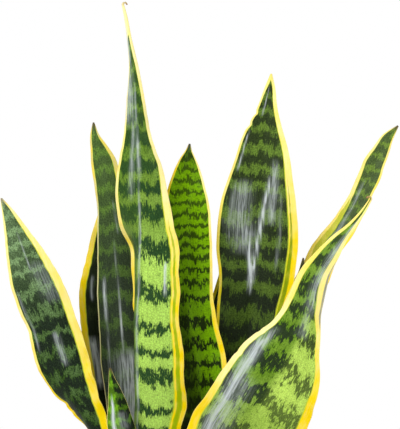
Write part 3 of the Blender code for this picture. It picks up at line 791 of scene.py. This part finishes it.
def with_margin(tree, look, noises, green):
    """Green inside, then the lime edge, then yellow with its green line and a cream rim."""
    rim = swing(tree, noises["fray"], 0.16, number(tree, "rim"))
    gold = swing(tree, noises["fibre"], 0.8, number(tree, "gold"))
    gold = swing(tree, noises["patch"], 0.9, gold, clamp=True)
    yellow = mix(tree, gold, colour(*look["pale"]), colour(*look["golden"]))
    off = calc(tree, "ABSOLUTE", calc(tree, "SUBTRACT", rim, look["vein_at"]))
    vein = calc(tree, "SUBTRACT", number(tree, "vein"), off)
    vein = calc(tree, "DIVIDE", vein, 0.10, clamp=True)
    vein = calc(tree, "MULTIPLY", vein, step(tree, noises["patch"], 0.2, 0.6, 0.6, 0.95))
    yellow = mix(tree, vein, yellow, colour(*look["line"]))
    outer = step(tree, number(tree, "rim"), 0.0, 0.08, 0.4, 0.0)
    yellow = mix(tree, outer, yellow, colour(*EDGE_CREAM))
    skin = mix(tree, step(tree, rim, 0.92, 1.02), yellow, colour(*look["edge"]))
    return mix(tree, step(tree, rim, 1.0, 1.16), skin, green)


print("usual yellows:", USUAL["pale"], USUAL["golden"])

# %% [markdown]
# ## Painted highlights, needle and surface
# The blade is waxy with a faint ribbing. Grey-white strokes are painted into its colour as
# highlights and reflections of the white room, and those painted strokes are made a little
# smoother too. Last, the dry needle at the tip is brown.
# %% Leaf finish
# Grey-white of the painted highlights and reflections.
PAINTED_SHEEN_GREY = (208, 216, 218)


def leaf_finish(name, seed):
    """Banded green inside a yellow margin, with painted highlight strokes and a brown needle."""
    look = LOOKS[name]
    material, tree, shader = new_material(name + "_skin")
    noises = leaf_noises(tree, look, seed)
    fibre, painted_sheen = noises["fibre"], number(tree, "painted_sheen")
    skin = with_margin(tree, look, noises, banded_green(tree, look, noises))
    # Painted highlights: the grey-white is mixed in along the strokes, broken by the fibres.
    broken = calc(tree, "MAXIMUM", step(tree, fibre, 0.38, 0.60, 0.25, 1.15),
                  step(tree, painted_sheen, 0.5, 0.85))
    skin = mix(tree, calc(tree, "MULTIPLY", painted_sheen, broken, clamp=True), skin, colour(*PAINTED_SHEEN_GREY))
    skin = mix(tree, number(tree, "needle"), skin, colour(*look["tip"]))
    tree.links.new(skin, shader.inputs["Base Color"])

    gloss = calc(tree, "MULTIPLY_ADD", fibre, 0.22, 0.24)
    gloss = calc(tree, "MULTIPLY_ADD", painted_sheen, -0.08, gloss)
    tree.links.new(gloss, shader.inputs["Roughness"])
    shader.inputs["Specular IOR Level"].default_value = look["sheen"]
    shader.inputs["Subsurface Weight"].default_value = 0.06
    shader.inputs["Subsurface Radius"].default_value = (0.6, 0.9, 0.2)
    shader.inputs["Subsurface Scale"].default_value = 0.002
    relief = calc(tree, "MULTIPLY_ADD", fibre, 0.3, noises["ribs"])
    emboss(tree, shader, relief, 0.22, 0.0006)
    return material


print("usual specular level:", USUAL["sheen"])

# %% [markdown]
# ## Grow the leaves
# Each leaf is made, marked, given its finish, and set to stand for its plain CAD leaf.
# %% Build every leaf
for seed, name in enumerate(LEAVES):
    skin_points, skin_marks = leaf_skin(name, 10 + 3 * seed)
    faces = skin_faces(*skin_points.shape[:2])
    leaf = make_mesh(name.replace("leaf_", "blade_"), skin_points, faces)
    mark_leaf(leaf, name, skin_marks)
    wear(leaf, leaf_finish(name, seed + 1))
    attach(leaf, "root")
    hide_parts(name)
    reach = 2000.0 * skin_marks["reach"].max()
    print(leaf.name, len(faces), "faces, widest", round(float(reach)), "mm")

# %% [markdown]
# ## The clay pot
# A clay pot is thrown or pressed on a wheel, so its shape is one outline turned about an
# axis. The outline goes down the outside, through the drain hole and up the inside. Fine
# rings from the wheel, a slightly uneven lip and small softened chips keep it from looking
# machined. The outline's sizes are those of the CAD pot.
# %% Turned pot
POT_HEIGHT = float(POT_HIGH[2])
LIP_RADIUS = float(POT_HIGH[0])
FOOT_RADIUS, BODY_RADIUS, WALL, FLOOR = 0.0575, 0.081, 0.007, 0.009
COLLAR, STEP, LIP_ROUND, HOLE = 0.028, 0.003, 0.0025, 0.010
FOOT_ROUND, HOLE_ROUND = 0.003, 0.001
AROUND = 288
GROOVE_DEPTH, GROOVE_PITCH, DENT_DEPTH = 0.00016, 0.0031, 0.00035
CHIP_INWARD, CHIP_DOWN, LIP_BAND, FOOT_BAND, BASE_CLEAR = 0.0020, 0.0022, 0.004, 0.004, 0.030


def body(z):
    """Radius of the tapered wall at a height, without the collar."""
    return FOOT_RADIUS + (BODY_RADIUS - FOOT_RADIUS) * z / POT_HEIGHT


def arc(centre, radius, start, end, count=7):
    """Points on part of a circle in the outline's plane, angles in degrees."""
    angle = np.radians(np.linspace(start, end, count))
    return np.stack([centre[0] + radius * np.cos(angle), centre[1] + radius * np.sin(angle)], 1)


def line(start, end, count):
    """Evenly spaced points from start to just before end."""
    share = np.linspace(0.0, 1.0, count, endpoint=False)[:, None]
    return np.array(start) * (1.0 - share) + np.array(end) * share


def turned(profile, around):
    """Points of a closed outline turned about the vertical: radius*cos, radius*sin, height."""
    angle = np.linspace(0.0, 2.0 * np.pi, around, endpoint=False)[None, :]
    radius, height = profile[:, :1], profile[:, 1:]
    return np.stack([radius * np.cos(angle), radius * np.sin(angle), height + 0.0 * angle], -1)


def ring_faces(rows, columns, closed):
    """Quads between rings, and between the last ring and the first if the outline is closed."""
    low = np.arange(rows if closed else rows - 1)[:, None]
    high = (low + 1) % rows
    here = np.arange(columns)[None, :]
    after = (here + 1) % columns
    quads = [low * columns + here, high * columns + here, high * columns + after,
             low * columns + after]
    return np.stack(np.broadcast_arrays(*quads), axis=-1).reshape(-1, 4).tolist()


def fan(pole, first, columns, upward):
    """Triangles from a pole to the ring whose first point is given, facing up or down."""
    here = first + np.arange(columns)
    after = first + (np.arange(columns) + 1) % columns
    pair = (here, after) if upward else (after, here)
    return np.stack([np.full(columns, pole), *pair], axis=1).tolist()


collar_foot = POT_HEIGHT - COLLAR
proud = LIP_RADIUS - body(POT_HEIGHT)
inner_lip = body(POT_HEIGHT) - WALL
lip_z = POT_HEIGHT - LIP_ROUND
outline = np.concatenate([
    arc((LIP_RADIUS - LIP_ROUND, lip_z), LIP_ROUND, 90, 0),
    line((LIP_RADIUS, lip_z), (body(collar_foot) + proud, collar_foot + STEP), 24)[1:],
    arc((body(collar_foot) + proud - 0.0015, collar_foot + 0.0022), 0.0015, 0, -90),
    line((body(collar_foot) + 0.0012, collar_foot + 0.0004), (body(FOOT_ROUND), FOOT_ROUND), 84),
    arc((body(FOOT_ROUND) - FOOT_ROUND, FOOT_ROUND), FOOT_ROUND, 0, -90),
    line((FOOT_RADIUS - 2.0 * FOOT_ROUND, 0.0), (HOLE + HOLE_ROUND, 0.0), 10),
    arc((HOLE + HOLE_ROUND, HOLE_ROUND), HOLE_ROUND, 270, 180, 4),
    line((HOLE, HOLE_ROUND), (HOLE, FLOOR - HOLE_ROUND), 4)[1:],
    arc((HOLE + HOLE_ROUND, FLOOR - HOLE_ROUND), HOLE_ROUND, 180, 90, 4),
    line((HOLE + 2.0 * HOLE_ROUND, FLOOR), (body(FLOOR) - WALL, FLOOR), 10),
    line((body(FLOOR) - WALL, FLOOR), (inner_lip, lip_z), 60),
    arc((inner_lip + LIP_ROUND, lip_z), LIP_ROUND, 180, 90)[:-1],
])
skin = turned(outline, AROUND)
turn_angle = np.linspace(0.0, 2.0 * np.pi, AROUND, endpoint=False)[None, :]
ring_height = skin[..., 2]
east, north = np.cos(turn_angle), np.sin(turn_angle)
grooves = GROOVE_DEPTH * np.sin(ring_height * 2.0 * np.pi / GROOVE_PITCH + 1.3 * north)
grooves = grooves * (0.5 + 0.5 * np.sin(ring_height * 90.0))
dents = ripple(east * 1.2, north * 1.2 + ring_height * 9.0, 5) * DENT_DEPTH
lip_wear = np.clip((ring_height - (POT_HEIGHT - LIP_BAND)) / LIP_BAND, 0, 1)
chips = np.clip(ripple(east * 3.0, north * 3.0, 8) - 0.28, 0, 1)
standing = np.clip(ring_height / FOOT_BAND, 0.0, 1.0)
standing = standing * (np.hypot(skin[..., 0], skin[..., 1]) > BASE_CLEAR)
push = (grooves + dents - 0.0003) * standing - chips * lip_wear * CHIP_INWARD
skin[..., :2] += np.stack([east, north], axis=-1) * push[..., None]
skin[..., 2] -= chips * lip_wear * CHIP_DOWN
pot = make_mesh("clay_pot", skin, ring_faces(len(outline), AROUND, True))
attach(pot, "root")
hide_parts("pot")
print("pot outline has", len(outline), "points; lip radius", round(LIP_RADIUS * 1000), "mm")

# %% [markdown]
# ## Unglazed clay
# Fired clay is warm orange-brown and chalky. Its body carries darker and lighter specks, water
# seeping through it leaves a pale lime bloom that is strongest low down and under the collar,
# and the lip is rubbed paler where hands lift it.
# %% Clay finish
def clay_finish():
    """Mottled terracotta with specks, a lime bloom and a rubbed lip."""
    material, tree, shader = new_material("clay_terracotta")
    where = add(tree, "TexCoord").outputs["Object"]
    parts = add(tree, "SeparateXYZ", None, {0: where}).outputs
    flat = add(tree, "Mapping", None, {"Vector": where, "Scale": (1.0, 1.0, 3.5)}).outputs[0]
    cloud = noise(tree, where, 22.0, 4.0, 0.6)
    drag = noise(tree, flat, 60.0, 4.0, 0.6)
    speck = noise(tree, where, 900.0, 2.0, 0.7)
    bloom_noise = noise(tree, where, 34.0, 6.0, 0.68)
    clay = mix(tree, step(tree, cloud, 0.3, 0.7), colour(176, 92, 58), colour(204, 122, 82))
    clay = mix(tree, step(tree, drag, 0.35, 0.75, 0.0, 0.45), clay, colour(154, 76, 48))
    clay = mix(tree, step(tree, speck, 0.66, 0.74, 0.0, 0.55), clay, colour(92, 48, 34))
    clay = mix(tree, step(tree, speck, 0.32, 0.26, 0.0, 0.4), clay, colour(226, 172, 134))
    low = step(tree, parts["Z"], 0.062, 0.0)
    under = calc(tree, "MULTIPLY", step(tree, parts["Z"], 0.100, 0.121), 0.45)
    under = calc(tree, "MULTIPLY", under, step(tree, parts["Z"], 0.125, 0.1225))
    bloom = calc(tree, "ADD", calc(tree, "MULTIPLY", low, 0.75), under)
    bloom = calc(tree, "MULTIPLY", bloom, step(tree, bloom_noise, 0.42, 0.72), clamp=True)
    clay = mix(tree, bloom, clay, colour(226, 208, 188))
    rubbed = calc(tree, "MULTIPLY", step(tree, parts["Z"], 0.1465, 0.1495), 0.35)
    clay = mix(tree, rubbed, clay, colour(222, 152, 112))
    tree.links.new(clay, shader.inputs["Base Color"])
    tree.links.new(step(tree, bloom_noise, 0.3, 0.8, 0.78, 0.95), shader.inputs["Roughness"])
    shader.inputs["Specular IOR Level"].default_value = 0.25
    relief = calc(tree, "MULTIPLY_ADD", speck, 0.35, drag)
    emboss(tree, shader, relief, 0.35, 0.0006)
    return material


wear(pot, clay_finish())
print("clay material:", pot.data.materials[0].name)

# %% [markdown]
# ## Potting soil
# Potting mix settles into a slightly lumpy surface that flattens out against the wall. The
# solid fills the pot, so its outline is a disc with a side and a base, and only the top needs
# a fine grid. Three sizes of soft noise make its mounds, its lumps and its grit.
# %% Soil body
SOIL_BOTTOM = float(SOIL_LOW[2])
SOIL_RINGS, SOIL_AROUND, SOIL_EDGE = 90, 240, 0.0700


def soil_lift(x, y):
    """Height of the surface above the flat: broad mounds, lumps and fine grit."""
    edge = np.clip((SOIL_EDGE - np.hypot(x, y)) / 0.012, 0.0, 1.0)
    mounds = ripple(x * 22.0, y * 22.0, 31) * 0.0018
    lumps = ripple(x * 90.0, y * 90.0, 32, waves=9, finest=3.0) * 0.0011
    grit = ripple(x * 330.0, y * 330.0, 33, waves=10, finest=3.0) * 0.0007
    return (mounds + lumps + grit) * edge - 0.0004


ring_radius = np.linspace(0.0, SOIL_EDGE, SOIL_RINGS)[1:]
angle = np.linspace(0.0, 2.0 * np.pi, SOIL_AROUND, endpoint=False)[None, :]
top_x, top_y = ring_radius[:, None] * np.cos(angle), ring_radius[:, None] * np.sin(angle)
top = np.stack([top_x, top_y, SOIL_TOP + soil_lift(top_x, top_y)], axis=-1)
side_outline = np.array([[SOIL_EDGE + 0.0004, SOIL_TOP - 0.0012],
                         [body(SOIL_BOTTOM) - WALL - 0.0004, SOIL_BOTTOM], [0.030, SOIL_BOTTOM]])
side = turned(side_outline, SOIL_AROUND)
soil_rings = np.concatenate([top, side])
centre_top = [0.0, 0.0, SOIL_TOP + float(soil_lift(np.zeros(1), np.zeros(1))[0])]
points = np.concatenate([soil_rings.reshape(-1, 3), [centre_top, [0.0, 0.0, SOIL_BOTTOM]]])
faces = ring_faces(len(soil_rings), SOIL_AROUND, False)
faces += fan(len(points) - 2, 0, SOIL_AROUND, True)
faces += fan(len(points) - 1, (len(soil_rings) - 1) * SOIL_AROUND, SOIL_AROUND, False)
soil = make_mesh("potting_mix", points, faces)
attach(soil, "root")
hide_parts("potting_soil")
print("soil faces:", len(faces), "lift from", round(float(top[..., 2].min() - SOIL_TOP) * 1000, 1),
      "to", round(float(top[..., 2].max() - SOIL_TOP) * 1000, 1), "mm")

# %% [markdown]
# ## Crumbs lying on the soil
# Indoor mixes hold chips of bark and white grains of perlite, and at the surface they sit half
# sunk. One could scatter copies of a modelled chip, but a ball of a few dozen faces whose points
# are pushed in and out at random already reads as a chip. All crumbs of a kind share one mesh,
# and a fixed seed scatters them the same way every time.
# %% Crumbs of bark and grains of perlite
LUMP_RINGS, LUMP_STEPS = 3, 6
SCATTER_RADIUS, ROUGHNESS, TILT, SUNK = 0.067, 0.28, 0.35, 0.35


def lump():
    """Unit ball of a few faces: two poles and a few rings."""
    tilt = np.pi * np.arange(1, LUMP_RINGS + 1)[:, None] / (LUMP_RINGS + 1)
    spin = 2.0 * np.pi * np.arange(LUMP_STEPS)[None, :] / LUMP_STEPS
    rings = np.stack([np.sin(tilt) * np.cos(spin), np.sin(tilt) * np.sin(spin),
                      np.cos(tilt) + 0.0 * spin], -1).reshape(-1, 3)
    points = np.concatenate([rings, [[0, 0, 1.0], [0, 0, -1.0]]])
    quads = ring_faces(LUMP_RINGS, LUMP_STEPS, False)
    north = fan(len(points) - 2, 0, LUMP_STEPS, True)
    south = fan(len(points) - 1, (LUMP_RINGS - 1) * LUMP_STEPS, LUMP_STEPS, False)
    return points, quads + north + south


def scatter(name, count, sizes, flatness, seed, smooth):
    """Many rough lumps in one mesh, lying on the soil, each stretched and turned by chance."""
    rng = np.random.default_rng(seed)
    ball, ball_faces = lump()
    radius = SCATTER_RADIUS * np.sqrt(rng.uniform(0.0, 1.0, count))
    bearing = rng.uniform(0.0, 2.0 * np.pi, count)
    x, y = radius * np.cos(bearing), radius * np.sin(bearing)
    size = rng.uniform(*sizes, (count, 1, 1)) * rng.uniform(0.6, 1.4, (count, 1, 3))
    size[..., 2] *= flatness
    points = ball[None] * (1.0 + rng.uniform(-ROUGHNESS, ROUGHNESS, (count, len(ball), 1))) * size
    yaw = rng.uniform(0.0, 2.0 * np.pi, count)[:, None]
    pitch = rng.normal(0.0, TILT, count)[:, None]
    px, py, pz = points[..., 0], points[..., 1], points[..., 2]
    px, pz = px * np.cos(pitch) - pz * np.sin(pitch), px * np.sin(pitch) + pz * np.cos(pitch)
    px, py = px * np.cos(yaw) - py * np.sin(yaw), px * np.sin(yaw) + py * np.cos(yaw)
    ground = (SOIL_TOP + soil_lift(x, y))[:, None] + size[:, :, 2] * SUNK
    placed = np.stack([px + x[:, None], py + y[:, None], pz + ground], axis=-1)
    faces = [[corner + index * len(ball) for corner in face]
             for index in range(count) for face in ball_faces]
    piece = make_mesh(name, placed, faces, smooth)
    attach(piece, "root")
    print(name, count, "lumps,", len(faces), "faces")
    return piece


crumbs = scatter("bark_crumbs", 620, (0.0009, 0.0026), 0.55, 41, False)
perlite = scatter("perlite_grains", 90, (0.0007, 0.0017), 0.9, 42, True)

# %% [markdown]
# ## Earth, bark and perlite
# Damp potting mix is nearly black-brown and matt, with reddish bark and pale fibres in
# it. Perlite is expanded volcanic glass: chalk white, with soil dust in its dimples.
# %% Soil finishes
def earth_finish(name, dark, warm, pale, scale):
    """Two browns with pale fibre specks, matt and rough."""
    material, tree, shader = new_material(name)
    where = add(tree, "TexCoord").outputs["Object"]
    broad = noise(tree, where, scale, 4.0, 0.65)
    fine = noise(tree, where, scale * 7.0, 3.0, 0.7)
    earth = mix(tree, step(tree, broad, 0.35, 0.68), colour(*dark), colour(*warm))
    earth = mix(tree, step(tree, fine, 0.66, 0.78, 0.0, 0.6), earth, colour(*pale))
    tree.links.new(earth, shader.inputs["Base Color"])
    tree.links.new(step(tree, fine, 0.3, 0.7, 0.8, 0.97), shader.inputs["Roughness"])
    shader.inputs["Specular IOR Level"].default_value = 0.2
    emboss(tree, shader, fine, 0.6, 0.0008)
    return material


wear(soil, earth_finish("earth_peat", (34, 24, 17), (66, 46, 32), (120, 92, 64), 90.0))
wear(crumbs, earth_finish("earth_bark", (48, 30, 20), (104, 66, 42), (146, 110, 76), 140.0))
wear(perlite, earth_finish("earth_perlite", (226, 222, 212), (244, 242, 236), (176, 160, 138),
                           260.0))
rhizome_skin = earth_finish("rhizome_bark", (150, 96, 44), (196, 134, 66), (226, 190, 130), 160.0)
for node_name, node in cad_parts.items():
    if node_name.startswith("rhizome"):
        for material_slot in node.material_slots:
            material_slot.material = rhizome_skin
print("rhizomes wear", rhizome_skin.name)

# %% [markdown]
# ## Studio
# The plant stands on a plain pale floor in a white room. A broad soft lamp high on the front
# left models the leaves, a weaker one from the right fills the shadows, and a tall narrow lamp
# puts the long highlights on the waxy blades. The camera is level and far away, so the
# leaves show almost no perspective.
# %% Floor, lights and camera
FRAME_HEIGHT, CAMERA_DISTANCE, CAMERA_HEIGHT = 0.3003, 1.5, SOIL_TOP + 0.24115
SENSOR, ROOM_LIGHT, FLOOR_RADIUS, FLOOR_DROP = 36.0, 0.42, 2.0, 0.0002
AIM = (0.0, 0.0, 0.36)


def lamp(name, place, aim, size, power):
    """Rectangular soft lamp at a place, aimed at a point."""
    data = bpy.data.lights.new(name, "AREA")
    data.shape, data.size, data.size_y = "RECTANGLE", size[0], size[1]
    data.energy = power
    light = bpy.data.objects.new(name, data)
    light.location = place
    direction = Vector(aim) - Vector(place)
    light.rotation_euler = direction.to_track_quat("-Z", "Y").to_euler()
    bpy.context.scene.collection.objects.link(light)


floor_radius = np.linspace(0.0, FLOOR_RADIUS, 40)[1:, None]
floor_rings = turned(np.insert(floor_radius, 1, -FLOOR_DROP, axis=1), SOIL_AROUND)
floor_points = np.concatenate([floor_rings.reshape(-1, 3), [[0.0, 0.0, -FLOOR_DROP]]])
floor_faces = ring_faces(len(floor_rings), SOIL_AROUND, False)
floor_faces += fan(len(floor_points) - 1, 0, SOIL_AROUND, True)
floor = make_mesh("studio_floor", floor_points, floor_faces)
floor_material, _, floor_shader = new_material("studio_white")
floor_shader.inputs["Base Color"].default_value = (0.86, 0.86, 0.86, 1.0)
floor_shader.inputs["Roughness"].default_value = 0.9
wear(floor, floor_material)

scene = bpy.context.scene
world = bpy.data.worlds.new("white_room")
world.use_nodes = True
room = world.node_tree.nodes["Background"]
room.inputs["Color"].default_value = (1.0, 1.0, 1.0, 1.0)
seen = add(world.node_tree, "LightPath").outputs["Is Camera Ray"]
brightness = calc(world.node_tree, "MULTIPLY_ADD", seen, 1.0 - ROOM_LIGHT, ROOM_LIGHT)
world.node_tree.links.new(brightness, room.inputs["Strength"])
scene.world = world
lamp("key", (-1.1, -1.5, 1.5), AIM, (0.8, 0.8), 26.0)
lamp("fill", (1.4, -1.0, 0.7), AIM, (0.8, 1.2), 7.0)
lamp("strip", (-0.35, -1.7, 0.9), (0.03, 0.0, 0.36), (0.12, 1.4), 5.0)

camera_data = bpy.data.cameras.new("camera")
camera_data.sensor_width = SENSOR
camera_data.lens = SENSOR * CAMERA_DISTANCE / FRAME_HEIGHT
camera = bpy.data.objects.new("camera", camera_data)
camera.location = (0.0, -CAMERA_DISTANCE, CAMERA_HEIGHT)
camera.rotation_euler = (np.radians(90.0), 0.0, 0.0)
scene.collection.objects.link(camera)
scene.camera = camera
scene.view_settings.view_transform = "Standard"
print("lens", round(camera_data.lens), "mm, camera height", round(CAMERA_HEIGHT * 1000), "mm")
